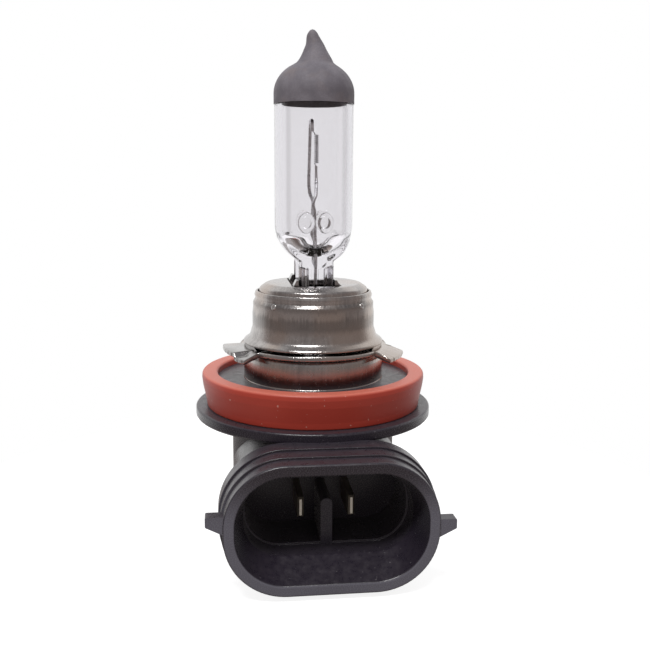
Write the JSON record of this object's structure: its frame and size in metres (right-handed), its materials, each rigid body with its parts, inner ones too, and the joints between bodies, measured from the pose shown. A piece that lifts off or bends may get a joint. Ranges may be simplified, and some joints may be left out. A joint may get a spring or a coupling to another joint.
{
  "type": "headlight bulb",
  "caption": "Tungsten halogen headlight bulb with a coated quartz burner, steel lug holder, red sealing ring and a right-angle two-pin plug base.",
  "frame": {"origin": "on the bulb axis, in the reference plane under the locking lugs", "axes": "+Z along the bulb axis towards the glass tip; the plug opens towards -Y; +X to the right seen from the plug"},
  "size_m": [0.0326, 0.0393, 0.0684],
  "materials": {
    "quartz": "clear fire-polished quartz",
    "antiglare_coat": "baked matte grey-black coat",
    "tungsten": "coiled dull tungsten wire",
    "support_wire": "drawn molybdenum wire",
    "moly_foil": "thin rolled foil",
    "lead_wire": "drawn nickel-plated wire",
    "spring_steel": "formed strip",
    "pressed_steel": "deep-drawn, fine draw marks",
    "weld_metal": "smooth laser weld",
    "red_silicone": "moulded silicone, soft sheen",
    "black_plastic": "moulded, faint dust and mould grain",
    "tinned_brass": "tin-plated blade"
  },
  "bodies": {
    "root": {"quartz_envelope": "quartz", "antiglare_coating": "antiglare_coat", "filament_coil": "tungsten", "long_support_wire": "support_wire", "short_support_wire": "support_wire", "bridge_rod_left": "quartz", "bridge_rod_right": "quartz", "foil_front": "moly_foil", "foil_rear": "moly_foil", "outer_lead_front": "lead_wire", "outer_lead_rear": "lead_wire", "pinch_clip": "spring_steel", "holder_cup": "pressed_steel", "adjusting_sleeve": "pressed_steel", "sleeve_spot_welds": "weld_metal", "lug_ring": "pressed_steel", "base_barrel": "pressed_steel", "sealing_ring": "red_silicone", "base_housing": "black_plastic", "base_cover": "black_plastic", "terminal_left": "tinned_brass", "terminal_right": "tinned_brass"}
  },
  "joints": []
}
